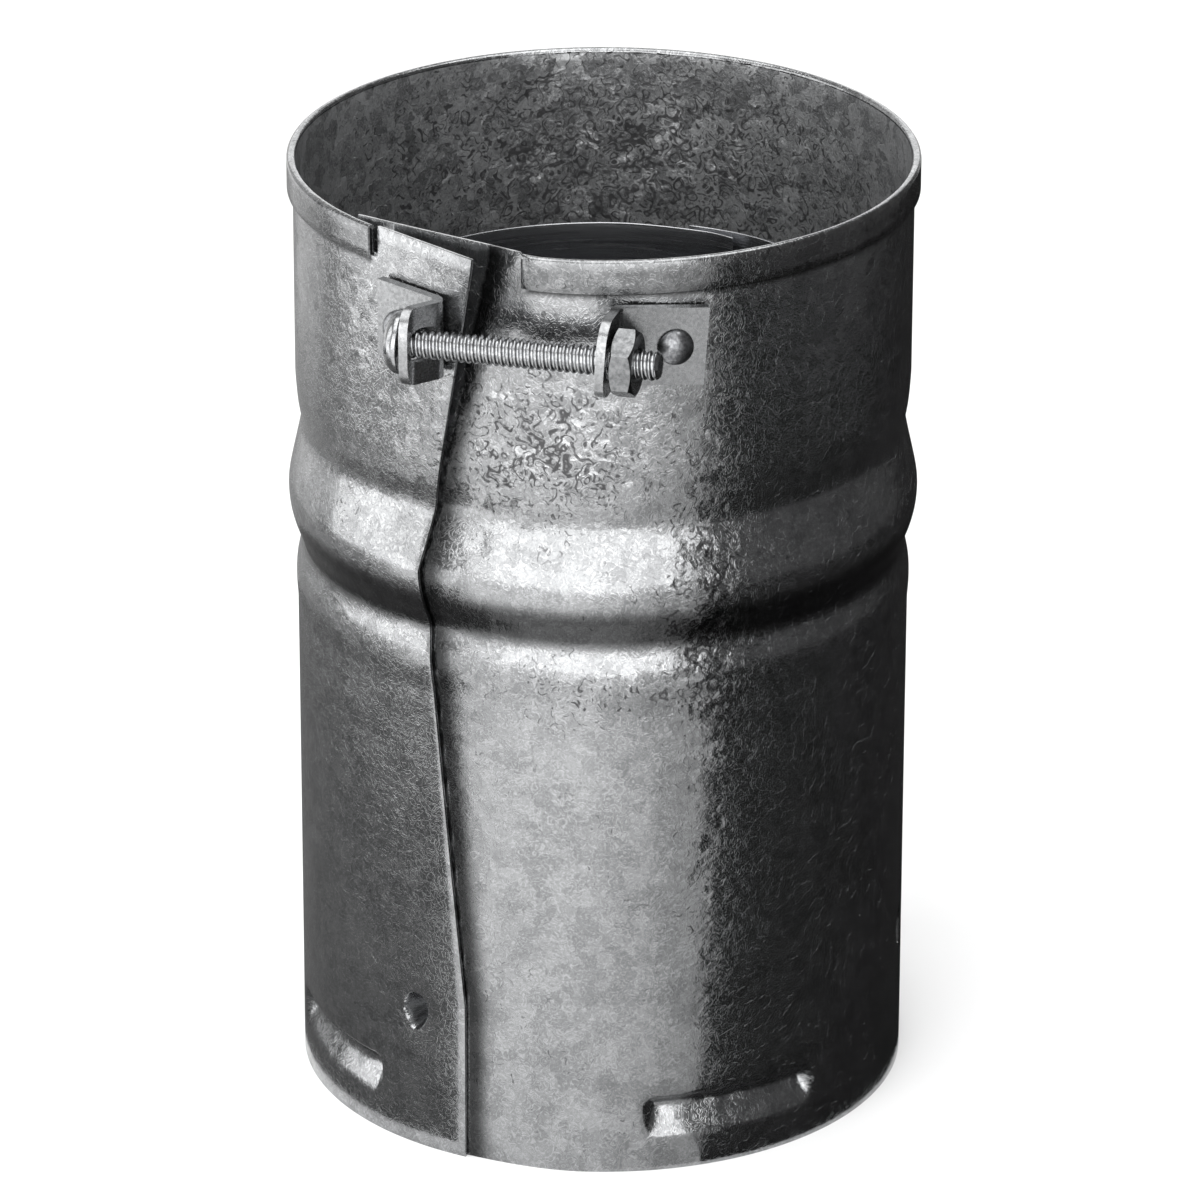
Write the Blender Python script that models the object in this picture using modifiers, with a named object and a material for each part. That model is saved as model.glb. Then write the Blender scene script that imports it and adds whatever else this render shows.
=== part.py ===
"""Gas vent adapter: a double-wall pipe end with a screw clamp collar at its top."""

import math

import bmesh
import bpy
from mathutils import Matrix, Vector

# Fits
clearance = 0.0003
hole_clearance = 0.0004

# Outer shell sheet
shell_radius = 0.04445
shell_height = 0.1408
shell_sheet = 0.00046
lap_gap = 0.0003
column_step = 7.0
press_samples = 3

# Lap seam, angles from the clamp side towards +X
lap_inner_end = -38.0
lap_joggle_start = -11.0
lap_joggle_end = 11.0
seam_foot_angle = -12.4
seam_foot_height = 0.024
seam_bead_angle = -20.8
seam_top_angle = -7.9

# Loose collar ends
flap_hinge_angle = -31.7
flap_lift_foot = 0.024
flap_lift_at_bead = 0.22
flat_angle = -18.5
flat_half_angle = 20.0
flat_depth = 0.0024
flat_reach = 0.0368

# Bead, as heights from its crest with the swell of the wall there
collar_depth = 0.0496
bead_profile = (
    (-0.0182, 0.0),
    (-0.0150, 0.00019),
    (-0.0116, -0.00005),
    (-0.0082, -0.00045),
    (-0.0056, 0.00045),
    (-0.0032, 0.00095),
    (0.0, 0.00111),
    (0.0030, 0.00090),
    (0.0094, -0.00075),
    (0.0128, -0.00030),
    (0.0166, 0.0),
)

# Hem and relief slot
hem_depth = 0.0048
hem_gap = 0.0002
hem_start_angle = -0.8
slot_width_angle = 1.45
slot_depth = 0.0040

# Pressed lock lugs
lug_count = 4
lug_first_angle = 39.8
lug_span = 37.4
lug_ramp = 3.2
lug_foot = 0.0047
lug_crest = 0.0098
lug_top = 0.0123
lug_depth = 0.0021

# Deep dimples that hold the liner
dimple_count = 3
dimple_first_angle = -23.5
dimple_height = 0.0212
dimple_half_angle = 3.1
dimple_half_height = 0.0030
dimple_tip = 0.28
dimple_mouth = 0.86

# Inner liner
air_gap = 0.00559
liner_sheet = 0.0003
liner_foot = 0.0010
liner_drop = 0.0252
liner_seam_angle = 163.0
liner_lap = 12.0
liner_joggle = 18.0

# Clamp screw
screw_stand = 0.00804
screw_drop = 0.0125
screw_radius = 0.0021
head_radius = 0.0044
head_rise = 0.0027
head_seat_x = -0.0162
screw_tip_x = 0.0203
tip_chamfer = 0.0005
slot_cut_width = 0.0010
slot_cut_depth = 0.0013

# Clamp nut
nut_flats = 0.00873
nut_thickness = 0.00318
nut_chamfer = 0.0005

# Clamp brackets
bracket_sheet = 0.0013
bracket_width = 0.0114
bracket_bend = 0.0012
ear_corner = 0.0035
ear_reach = 0.0039
screw_rivet_x = -0.0173
screw_bracket_tail = 0.0046
screw_ear_lean = 14.0
screw_ear_root = 0.0032
screw_ear_curve = 0.0020
nut_rivet_x = 0.01983
nut_bracket_tail = 0.0044
nut_bracket_roll = 4.0
nut_ear_x = 0.01265

# Rivets
rivet_head_radius = 0.00255
rivet_head_rise = 0.0014
rivet_shank_radius = 0.0016
rivet_tail_radius = 0.0022
rivet_tail_rise = 0.0009

half_sheet = shell_sheet / 2
bead_crest = shell_height - collar_depth
wall_profile = tuple((bead_crest + rise, swell) for rise, swell in bead_profile)
flat_foot = shell_height - flat_reach
liner_radius = shell_radius - shell_sheet - air_gap
liner_top = shell_height - liner_drop
screw_height = shell_height - screw_drop
screw_bracket_angle = math.degrees(math.asin(screw_rivet_x / shell_radius))
nut_bracket_angle = math.degrees(math.asin(nut_rivet_x / shell_radius))
lap_outer_end = seam_foot_angle + 360
fold_radius = (shell_sheet + hem_gap) / 2
fold_height = shell_height - half_sheet - fold_radius
slot_foot = shell_height - slot_depth
slot_end_angle = flap_hinge_angle + 360 + slot_width_angle / 2
hem_end_angle = slot_end_angle - slot_width_angle
dimple_depth = air_gap - clearance


def clear_scene():
    for obj in list(bpy.data.objects):
        bpy.data.objects.remove(obj, do_unlink=True)


def new_collection(name):
    collection = bpy.data.collections.new(name)
    bpy.context.scene.collection.children.link(collection)
    return collection


def new_material(name, colour, metallic, roughness):
    material = bpy.data.materials.new(name)
    material.use_nodes = True
    shader = material.node_tree.nodes["Principled BSDF"]
    shader.inputs["Base Color"].default_value = (*colour, 1.0)
    shader.inputs["Metallic"].default_value = metallic
    shader.inputs["Roughness"].default_value = roughness
    return material


def new_object(name, bm, collection, material=None):
    mesh = bpy.data.meshes.new(name)
    bm.to_mesh(mesh)
    bm.free()
    obj = bpy.data.objects.new(name, mesh)
    collection.objects.link(obj)
    if material:
        mesh.materials.append(material)
    return obj


def new_cutter(name, bm, collection):
    obj = new_object(name, bm, collection)
    obj.hide_render = True
    obj.display_type = "WIRE"
    return obj


def cut(obj, cutter, operation="DIFFERENCE"):
    boolean = obj.modifiers.new(cutter.name, "BOOLEAN")
    boolean.operation = operation
    boolean.solver = "EXACT"
    boolean.object = cutter


def thicken(obj, thickness):
    solidify = obj.modifiers.new("sheet", "SOLIDIFY")
    solidify.thickness = thickness
    solidify.offset = 0.0
    solidify.use_even_offset = True


def shade_round(obj, angle=35.0):
    obj.data.shade_smooth()
    obj.data.set_sharp_from_angle(angle=math.radians(angle))


def share(value, start, end):
    """How far value has gone from start to end, held between 0 and 1."""
    return min(max((value - start) / (end - start), 0.0), 1.0)


def ease(part):
    return part * part * (3 - 2 * part)


def between(value, points):
    """Straight lines between (position, height) points, level beyond the ends."""
    for (x0, y0), (x1, y1) in zip(points, points[1:]):
        if value <= x1:
            return y0 + (y1 - y0) * share(value, x0, x1)
    return points[-1][1]


def turn_apart(angle, other):
    """Smallest turn in degrees between two directions."""
    return abs((angle - other + 180) % 360 - 180)


def fill_steps(marks, step):
    """Sorted marks with even steps added between those that are far apart."""
    marks = sorted(marks)
    filled = [marks[0]]
    for mark in marks[1:]:
        count = max(1, math.ceil((mark - filled[-1]) / step - 1e-9))
        start = filled[-1]
        filled += [start + (mark - start) * i / count for i in range(1, count + 1)]
    return filled


def even_angles(first, count):
    return [first + 360 / count * i for i in range(count)]


def in_lap_range(angle):
    """The same direction on every layer of the rolled sheet that passes it."""
    turns = [angle + 360 * turn for turn in (-1, 0, 1)]
    return [turn for turn in turns if lap_inner_end < turn < lap_outer_end - 2]


def dimple_angles():
    """Where the dimples are, on the outermost layer of the sheet."""
    places = even_angles(dimple_first_angle, dimple_count)
    return [max(in_lap_range(angle)) for angle in places]


# Rolled sheet of the shell
def seam_angle(height):
    """Direction of the free outer edge of the sheet at this height."""
    points = (
        (seam_foot_height, seam_foot_angle),
        (bead_crest, seam_bead_angle),
        (shell_height, seam_top_angle),
    )
    return between(height, points)


def flap_lift(height):
    """1 where the flap is flat, 0 where it lies on the layer below."""
    points = (
        (flap_lift_foot, 0.0),
        (bead_crest, flap_lift_at_bead),
        (shell_height, 1.0),
    )
    return between(height, points)


def press_depth(angle, height):
    """How far the wall is pushed in by the lugs and the dimples."""
    depth = 0.0
    for lug in even_angles(lug_first_angle, lug_count):
        along = 1 - share(turn_apart(angle, lug), lug_span / 2 - lug_ramp, lug_span / 2)
        rise = share(height, lug_foot, lug_crest)
        fall = 1 - share(height, lug_crest, lug_top)
        depth += lug_depth * along * min(rise, fall)
    for dimple in dimple_angles():
        across = (angle - dimple) / dimple_half_angle
        up = (height - dimple_height) / dimple_half_height
        depth += dimple_depth * (1 - share(math.hypot(across, up), dimple_tip, dimple_mouth))
    return depth


def wall_radius(angle, height):
    """Radius of the middle of the shell sheet."""
    radius = shell_radius - half_sheet + between(height, wall_profile)
    under = 1 - ease(share(angle, lap_joggle_start, lap_joggle_end))
    radius -= (shell_sheet + lap_gap) * under
    if angle > slot_end_angle - slot_width_angle:
        swing = math.radians(max(angle - slot_end_angle, 0.0))
        radius += flap_lift(height) * shell_radius * (1 / math.cos(swing) - 1)
    if angle < lap_joggle_end:
        swing = (angle - flat_angle) / flat_half_angle
        sink = ease(share(height, flat_foot, shell_height))
        radius -= flat_depth * sink * max(1 - swing * swing, 0.0)
    return radius - press_depth(angle, height)


def round_point(angle, radius, height):
    turn = math.radians(angle)
    return Vector((radius * math.sin(turn), -radius * math.cos(turn), height))


def wall_point(angle, height):
    return round_point(angle, wall_radius(angle, height), height)


def sheet_point(angle, travel):
    """Point of the sheet's middle, with the travel measured up the wall and over the fold."""
    if travel <= fold_height:
        plain_rim = travel > fold_height - 1e-6 and not (
            hem_start_angle - 0.01 <= angle <= hem_end_angle + 0.01
        )
        return wall_point(angle, shell_height if plain_rim else travel)
    bend = min((travel - fold_height) / fold_radius, math.pi)
    drop = max(travel - fold_height - math.pi * fold_radius, 0.0)
    radius = wall_radius(angle, fold_height) + fold_radius * (1 - math.cos(bend))
    return round_point(angle, radius, fold_height + fold_radius * math.sin(bend) - drop)


def last_lug_end():
    """Where the lug that runs into the lap stops, on the inner layer."""
    return lug_first_angle - 360 / lug_count + lug_span / 2


def shell_columns():
    marks = [lap_inner_end, lap_joggle_start, lap_joggle_end, hem_start_angle]
    marks += [hem_end_angle, slot_end_angle, lap_outer_end]
    for lug in even_angles(lug_first_angle, lug_count):
        for offset in (lug_span / 2, lug_span / 2 - lug_ramp):
            marks += in_lap_range(lug - offset) + in_lap_range(lug + offset)
    for dimple in even_angles(dimple_first_angle, dimple_count):
        for offset in (-dimple_half_angle, 0.0, dimple_half_angle):
            marks += in_lap_range(dimple + offset)
    return fill_steps(marks, column_step)


def shell_rows():
    rows = [0.0, lug_foot, lug_crest, lug_top]
    rows += [dimple_height + side * dimple_half_height for side in (-1, 0, 1)]
    rows += [0.5 * (seam_foot_height + wall_profile[0][0])]
    rows += [height for height, swell in wall_profile]
    collar_foot = wall_profile[-1][0]
    rows += [collar_foot + (slot_foot - collar_foot) * i / 3 for i in (1, 2, 3)]
    fold = fold_radius * math.pi
    rows += [fold_height + fold * i / 3 for i in range(4)]
    return rows + [fold_height + fold + hem_depth - half_sheet - fold_radius]


def flat_grid(columns, rows):
    """Grid of the flat sheet: x is the direction in degrees, y the travel up the sheet."""
    bm = bmesh.new()
    across = len(columns) - 1
    up = len(rows) - 1
    bmesh.ops.create_grid(bm, x_segments=across, y_segments=up, size=1.0)
    for vert in bm.verts:
        i = round((vert.co.x + 1) / 2 * across)
        j = round((vert.co.y + 1) / 2 * up)
        vert.co = (columns[i], rows[j], 0.0)
    return bm


def faces_in(bm, x_range, y_range):
    found = []
    for face in bm.faces:
        middle = face.calc_center_median()
        if x_range[0] < middle.x < x_range[1] and y_range[0] < middle.y < y_range[1]:
            found.append(face)
    return found


def dimple_faces(bm, angle):
    low = dimple_height - dimple_half_height
    high = dimple_height + dimple_half_height
    return faces_in(bm, (angle - dimple_half_angle, angle + dimple_half_angle), (low, high))


def refine_dimples(bm):
    edges = set()
    for dimple in dimple_angles():
        for face in dimple_faces(bm, dimple):
            edges.update(face.edges)
    bmesh.ops.subdivide_edges(
        bm, edges=list(edges), cuts=press_samples, use_grid_fill=True
    )


def slant_seam(bm):
    """Draws the flap's columns together so that the last one follows the seam."""
    for vert in bm.verts:
        if vert.co.x > slot_end_angle:
            height = min(vert.co.y, shell_height)
            reach = seam_angle(height) + 360 - slot_end_angle
            part = (vert.co.x - slot_end_angle) / (lap_outer_end - slot_end_angle)
            vert.co.x = slot_end_angle + reach * part


def make_shell(collection, material):
    bm = flat_grid(shell_columns(), shell_rows())
    over = (fold_height, 1.0)
    waste = faces_in(bm, (lap_inner_end, hem_start_angle), over)
    waste += faces_in(bm, (hem_end_angle, lap_outer_end), over)
    waste += faces_in(bm, (hem_end_angle, slot_end_angle), (slot_foot, fold_height))
    hidden_end = (lap_inner_end, last_lug_end())
    waste += faces_in(bm, hidden_end, (0.0, dimple_height - dimple_half_height))
    for dimple in dimple_angles():
        waste += dimple_faces(bm, dimple - 360)
    bmesh.ops.delete(bm, geom=waste, context="FACES")
    refine_dimples(bm)
    slant_seam(bm)
    for vert in bm.verts:
        vert.co = sheet_point(vert.co.x, vert.co.y)
    bmesh.ops.recalc_face_normals(bm, faces=bm.faces)
    shell = new_object("outer_shell", bm, collection, material)
    thicken(shell, shell_sheet)
    shade_round(shell)
    return shell


def make_liner(collection, material):
    """Rolled tube whose sheet ends overlap in a vertical seam."""
    first = liner_seam_angle
    last = liner_seam_angle + 360 + liner_lap
    marks = [first, first + liner_joggle, last - liner_lap, last]
    bm = flat_grid(fill_steps(marks, column_step), [liner_foot, liner_top])
    for vert in bm.verts:
        under = 1 - ease(share(vert.co.x, first + liner_lap, first + liner_lap + liner_joggle))
        radius = liner_radius - liner_sheet / 2
        radius -= (liner_sheet + lap_gap) * under
        vert.co = round_point(vert.co.x, radius, vert.co.y)
    bmesh.ops.recalc_face_normals(bm, faces=bm.faces)
    liner = new_object("inner_liner", bm, collection, material)
    thicken(liner, liner_sheet)
    shade_round(liner)
    return liner


# Clamp hardware
def wall_seat(angle, height):
    """Frame on the wall's outer face: x along the wall, y up it and z outwards."""
    side = 3.5
    rise = 0.004
    left = wall_point(angle - side, height)
    right = wall_point(angle + side, height)
    along = (right - left).normalized()
    up = (wall_point(angle, height + rise) - wall_point(angle, height - rise)).normalized()
    out = along.cross(up).normalized()
    up = out.cross(along)
    place = Matrix((along, up, out)).transposed().to_4x4()
    place.translation = wall_point(angle, height) + out * half_sheet
    return place


def turned(name, profile, steps, place, collection, material):
    """Solid of revolution about z from (radius, height) points, given top to bottom."""
    bm = bmesh.new()
    verts = [bm.verts.new((radius, 0.0, height)) for radius, height in profile]
    for pair in zip(verts, verts[1:]):
        bm.edges.new(pair)
    obj = new_object(name, bm, collection, material)
    obj.matrix_world = place
    screw = obj.modifiers.new("turn", "SCREW")
    screw.steps = steps
    screw.render_steps = steps
    screw.use_merge_vertices = True
    screw.merge_threshold = 0.00001
    screw.use_smooth_shade = True
    return obj


def dome(radius, rise, seat, samples):
    """Half-ellipse from the apex down to the rim, standing on the seat."""
    points = []
    for i in range(samples + 1):
        turn = math.pi / 2 * i / samples
        points.append((radius * math.sin(turn), seat + rise * math.cos(turn)))
    return points


def walk(pieces, start, heading):
    """Plan line of a bent strip as (point, distance), from runs and turns."""
    point = Vector(start)
    distance = 0.0
    line = [(point.copy(), distance)]
    for length, turn, samples in pieces:
        for i in range(samples):
            step = length / samples
            middle = math.radians(heading + turn * (i + 0.5) / samples)
            point += step * Vector((math.cos(middle), math.sin(middle)))
            distance += step
            line.append((point.copy(), distance))
        heading += turn
    return line


def bend(turn):
    length = bracket_bend * math.radians(abs(turn))
    return (length, turn, 4)


def ear_half_width(distance, length):
    """Half height of the strip, rounded off at the ear's free corners."""
    into = distance - (length - ear_corner)
    if into <= 0:
        return bracket_width / 2
    into = min(into, ear_corner)
    return bracket_width / 2 - ear_corner + math.sqrt(ear_corner**2 - into**2)


def round_off(line):
    """Swaps the last run's end for points along the corner's arc."""
    (before, start), (end, length) = line[-2:]
    steps = 4
    kept = line[:-1]
    for i in range(steps + 1):
        distance = length - ear_corner * (1 - math.sin(math.pi / 2 * i / steps))
        if distance > start:
            kept.append((before.lerp(end, (distance - start) / (length - start)), distance))
    return kept


def make_bracket(name, line, place, collection, material):
    """Strip of sheet bent along the plan line, its width up the wall."""
    line = round_off(line)
    length = line[-1][1]
    bm = flat_grid(list(range(len(line))), [-1.0, 0.0, 1.0])
    for vert in bm.verts:
        point, distance = line[round(vert.co.x)]
        half = ear_half_width(distance, length)
        vert.co = place @ Vector((point.x, half * vert.co.y, point.y))
    bmesh.ops.recalc_face_normals(bm, faces=bm.faces)
    bracket = new_object(name, bm, collection, material)
    thicken(bracket, bracket_sheet)
    shade_round(bracket)
    return bracket


def screw_y():
    """The screw stands this far out in front of the flap, over the screw bracket's rivet."""
    return wall_point(screw_bracket_angle + 360, screw_height).y - screw_stand


def screw_place(x):
    """Frame on the screw's axis whose z looks back towards the head."""
    turn = Matrix.Rotation(math.radians(-90), 4, "Y")
    return Matrix.Translation((x, screw_y(), screw_height)) @ turn


def bar_cutter(name, radius, length, place, collection):
    bm = bmesh.new()
    bmesh.ops.create_cone(
        bm, cap_ends=True, segments=24, radius1=radius, radius2=radius, depth=length
    )
    cutter = new_cutter(name, bm, collection)
    cutter.matrix_world = place
    return cutter


def stand_off():
    """Height of the bracket sheet's middle over the wall."""
    return clearance * 1.4 + bracket_sheet / 2


def bracket_line(place, tail, side, turns, ear_x):
    """Plan line from the tail past the rivet to a square ear that stands at ear_x.

    side is 1 where the ear is on the frame's +x side and -1 where it is on its -x side.
    """
    heading = 90 - 90 * side
    turns = [(length, turn * side, samples) for length, turn, samples in turns]
    bent = walk(turns, (0.0, stand_off()), heading)[-1][0]
    end = place @ Vector((bent.x, 0.0, bent.y))
    along = place.to_3x3() @ Vector((side, 0.0, 0.0))
    base = (ear_x - end.x) / along.x
    run = end.y + base * along.y - (screw_y() - ear_reach)
    pieces = [(tail + base, 0.0, 1)] + turns + [(run, 0.0, 1)]
    return walk(pieces, (-side * tail, stand_off()), heading)


def facing(place):
    """Direction in degrees that the frame's z looks, from the clamp side towards +X."""
    out = place.to_3x3() @ Vector((0.0, 0.0, 1.0))
    return math.degrees(math.atan2(out.x, -out.y))


def make_screw_bracket(collection, material):
    """Sits on the flap: its ear leans with the bend, then curves square to the screw."""
    place = wall_seat(screw_bracket_angle + 360, screw_height)
    first = 90 + screw_ear_lean
    square = 90 + facing(place)
    turns = [
        bend(first),
        (screw_ear_root, 0.0, 1),
        (screw_ear_curve, square - first, 3),
    ]
    ear_x = head_seat_x + clearance + bracket_sheet / 2
    line = bracket_line(place, screw_bracket_tail, 1, turns, ear_x)
    return make_bracket("screw_bracket", line, place, collection, material), place


def make_nut_bracket(collection, material):
    """Sits on the wall past the seam, turned a little about its rivet."""
    place = wall_seat(nut_bracket_angle, screw_height)
    place = place @ Matrix.Rotation(math.radians(-nut_bracket_roll), 4, "Z")
    turns = [bend(90 - facing(place))]
    line = bracket_line(place, nut_bracket_tail, -1, turns, nut_ear_x)
    return make_bracket("nut_bracket", line, place, collection, material), place


def make_rivet(name, place, collection, material):
    seat = stand_off() + bracket_sheet / 2 + clearance
    inside = -shell_sheet - clearance
    profile = dome(rivet_head_radius, rivet_head_rise, seat, 4)
    profile += [
        (rivet_shank_radius, seat),
        (rivet_shank_radius, inside),
        (rivet_tail_radius, inside),
        (rivet_tail_radius, inside - rivet_tail_rise),
        (0.0, inside - rivet_tail_rise),
    ]
    return turned(name, profile, 16, place, collection, material)


def make_screw(collection, cutters, material):
    length = screw_tip_x - head_seat_x
    profile = dome(head_radius, head_rise, 0.0, 6)
    profile += [
        (screw_radius, 0.0),
        (screw_radius, tip_chamfer - length),
        (screw_radius - tip_chamfer, -length),
        (0.0, -length),
    ]
    place = screw_place(head_seat_x)
    screw = turned("clamp_screw", profile, 24, place, collection, material)
    bm = bmesh.new()
    size = (slot_cut_depth * 2, head_radius * 3, slot_cut_width)
    bmesh.ops.create_cube(bm, size=1.0, matrix=Matrix.Diagonal((*size, 1.0)))
    slot = new_cutter("screw_slot_cutter", bm, cutters)
    slot.location = (head_seat_x - head_rise, screw_y(), screw_height)
    cut(screw, slot)
    return screw


def make_nut(x, collection, cutters, material):
    """Hexagon with both faces chamfered by a turned barrel, and a plain bore."""
    corner = nut_flats / math.sqrt(3)
    bm = bmesh.new()
    bmesh.ops.create_cone(
        bm, cap_ends=True, segments=6, radius1=corner, radius2=corner, depth=nut_thickness
    )
    bmesh.ops.rotate(bm, verts=bm.verts, matrix=Matrix.Rotation(math.radians(30), 3, "Z"))
    nut = new_object("clamp_nut", bm, collection, material)
    nut.matrix_world = screw_place(x + nut_thickness / 2)
    rim = nut_thickness / 2 - nut_chamfer
    wide = corner + nut_chamfer
    profile = [
        (0.0, nut_thickness / 2 + clearance),
        (nut_flats / 2 - nut_chamfer / 2, nut_thickness / 2 + clearance),
        (wide, rim - nut_chamfer / 4),
        (wide, nut_chamfer / 4 - rim),
        (nut_flats / 2 - nut_chamfer / 2, -nut_thickness / 2 - clearance),
        (0.0, -nut_thickness / 2 - clearance),
    ]
    barrel = turned("nut_barrel_cutter", profile, 36, nut.matrix_world, cutters, None)
    barrel.hide_render = True
    barrel.display_type = "WIRE"
    cut(nut, barrel, "INTERSECT")
    bore = bar_cutter(
        "nut_bore_cutter",
        screw_radius + clearance,
        nut_thickness * 2,
        nut.matrix_world,
        cutters,
    )
    cut(nut, bore)
    return nut


def main():
    clear_scene()
    parts = new_collection("gas_vent_adapter")
    cutters = new_collection("cutters")
    zinc = new_material("shell_galvanised_steel", (0.42, 0.43, 0.44), 1.0, 0.38)
    aluminium = new_material("liner_aluminium", (0.55, 0.56, 0.57), 1.0, 0.30)
    tab_steel = new_material("bracket_zinc_steel", (0.45, 0.46, 0.47), 1.0, 0.35)
    rivet_steel = new_material("rivet_steel", (0.40, 0.40, 0.41), 1.0, 0.30)
    screw_steel = new_material("screw_plated_steel", (0.55, 0.55, 0.56), 1.0, 0.20)
    nut_steel = new_material("nut_plated_steel", (0.42, 0.42, 0.43), 1.0, 0.25)

    shell = make_shell(parts, zinc)
    make_liner(parts, aluminium)

    brackets = [make_screw_bracket(parts, tab_steel), make_nut_bracket(parts, tab_steel)]
    hole = screw_radius + hole_clearance
    screw_hole = bar_cutter(
        "screw_hole_cutter",
        hole,
        (screw_tip_x - head_seat_x) * 2,
        screw_place((screw_tip_x + head_seat_x) / 2),
        cutters,
    )
    for bracket, place in brackets:
        cut(bracket, screw_hole)
        rivet_hole = bar_cutter(
            bracket.name + "_hole_cutter",
            rivet_shank_radius + clearance,
            stand_off() * 4,
            place,
            cutters,
        )
        cut(bracket, rivet_hole)
        cut(shell, rivet_hole)
        make_rivet(bracket.name + "_rivet", place, parts, rivet_steel)

    make_screw(parts, cutters, screw_steel)
    lean = nut_flats / math.sqrt(3) * math.tan(math.radians(nut_bracket_roll))
    nut_seat = nut_ear_x + bracket_sheet / 2 + clearance + lean
    make_nut(nut_seat, parts, cutters, nut_steel)


main()
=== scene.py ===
import math

import bmesh
import bpy
from mathutils import Matrix, Vector, noise


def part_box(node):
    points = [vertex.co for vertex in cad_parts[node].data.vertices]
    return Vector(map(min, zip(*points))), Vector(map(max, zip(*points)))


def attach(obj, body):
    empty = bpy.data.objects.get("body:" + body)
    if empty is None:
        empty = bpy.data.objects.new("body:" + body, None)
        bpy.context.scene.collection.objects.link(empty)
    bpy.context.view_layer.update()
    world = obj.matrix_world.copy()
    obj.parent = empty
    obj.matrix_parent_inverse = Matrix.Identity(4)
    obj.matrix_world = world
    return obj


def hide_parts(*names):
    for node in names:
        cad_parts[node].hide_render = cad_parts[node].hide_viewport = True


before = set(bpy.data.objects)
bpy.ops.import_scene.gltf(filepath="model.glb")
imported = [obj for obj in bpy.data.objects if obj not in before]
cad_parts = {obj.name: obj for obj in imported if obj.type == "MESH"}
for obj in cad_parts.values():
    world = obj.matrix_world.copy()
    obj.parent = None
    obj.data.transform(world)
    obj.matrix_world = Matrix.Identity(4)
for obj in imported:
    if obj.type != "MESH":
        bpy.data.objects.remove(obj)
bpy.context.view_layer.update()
print("frame loaded:", ", ".join(sorted(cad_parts)))


# small helpers
def linear(hexColour):
    parts = [int(hexColour[i:i + 2], 16) / 255 for i in (1, 3, 5)]
    return [c / 12.92 if c <= 0.04045 else ((c + 0.055) / 1.055) ** 2.4 for c in parts] + [1.0]


def share(value, start, end):
    return min(max((value - start) / (end - start), 0.0), 1.0)


def ease(part):
    return part * part * (3 - 2 * part)


def hump(value, middle, halfWidth):
    return math.exp(-((value - middle) / halfWidth) ** 2)


def straightThrough(points, value):  # straight lines between the points
    for (x0, y0), (x1, y1) in zip(points, points[1:]):
        if value <= x1:
            return y0 + (y1 - y0) * share(value, x0, x1)
    return points[-1][1]


def smoothThrough(points, value):  # a smooth curve through the points, level past the ends
    if value <= points[0][0] or value >= points[-1][0]:
        return points[0][1] if value <= points[0][0] else points[-1][1]
    i = max(k for k in range(len(points) - 1) if points[k][0] <= value)
    (x0, y0), (x1, y1) = points[i], points[i + 1]
    before, after = points[max(i - 1, 0)], points[min(i + 2, len(points) - 1)]
    slope0 = (y1 - before[1]) / (x1 - before[0])
    slope1 = (after[1] - y0) / (after[0] - x0)
    t = (value - x0) / (x1 - x0)
    run = x1 - x0
    return ((2 * t ** 3 - 3 * t ** 2 + 1) * y0 + (t ** 3 - 2 * t ** 2 + t) * run * slope0
            + (3 * t ** 2 - 2 * t ** 3) * y1 + (t ** 3 - t ** 2) * run * slope1)


def turnApart(angle, other):
    return abs((angle - other + 180) % 360 - 180)


def fillMarks(marks, stepAt):  # the marks, with even steps between them as fine as stepAt says
    marks = sorted(marks)
    filled = [marks[0]]
    for mark in marks[1:]:
        start = filled[-1]
        if mark - start < 1e-7:
            continue
        count = max(1, math.ceil((mark - start) / stepAt((mark + start) / 2) - 1e-6))
        filled += [start + (mark - start) * i / count for i in range(1, count + 1)]
    return filled


def makeObject(name, bm, material, smoothAngle=35):
    mesh = bpy.data.meshes.new(name)
    bm.to_mesh(mesh)
    bm.free()
    obj = bpy.data.objects.new(name, mesh)
    bpy.context.scene.collection.objects.link(obj)
    if material:
        mesh.materials.append(material)
    mesh.shade_smooth()
    mesh.set_sharp_from_angle(angle=math.radians(smoothAngle))
    return obj


def addModifier(obj, kind, **settings):
    modifier = obj.modifiers.new(kind.lower(), kind)
    for key, value in settings.items():
        setattr(modifier, key, value)


def applyModifiers(obj, smoothAngle=35):
    graph = bpy.context.evaluated_depsgraph_get()
    mesh = bpy.data.meshes.new_from_object(obj.evaluated_get(graph))
    obj.modifiers.clear()
    obj.data = mesh
    mesh.shade_smooth()
    mesh.set_sharp_from_angle(angle=math.radians(smoothAngle))


# materials
def addNode(material, kind, inputs=None, **settings):
    # an input takes a plain value, or (node, output) for a link
    node = material.node_tree.nodes.new(kind)
    for key, value in settings.items():
        setattr(node, key, value)
    for key, value in (inputs or {}).items():
        if isinstance(value, tuple) and isinstance(value[0], bpy.types.Node):
            material.node_tree.links.new(value[0].outputs[value[1]], node.inputs[key])
        else:
            node.inputs[key].default_value = value
    return node


def newMaterial(name):
    material = bpy.data.materials.new(name)
    material.use_nodes = True
    return material, material.node_tree.nodes["Principled BSDF"]


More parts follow.
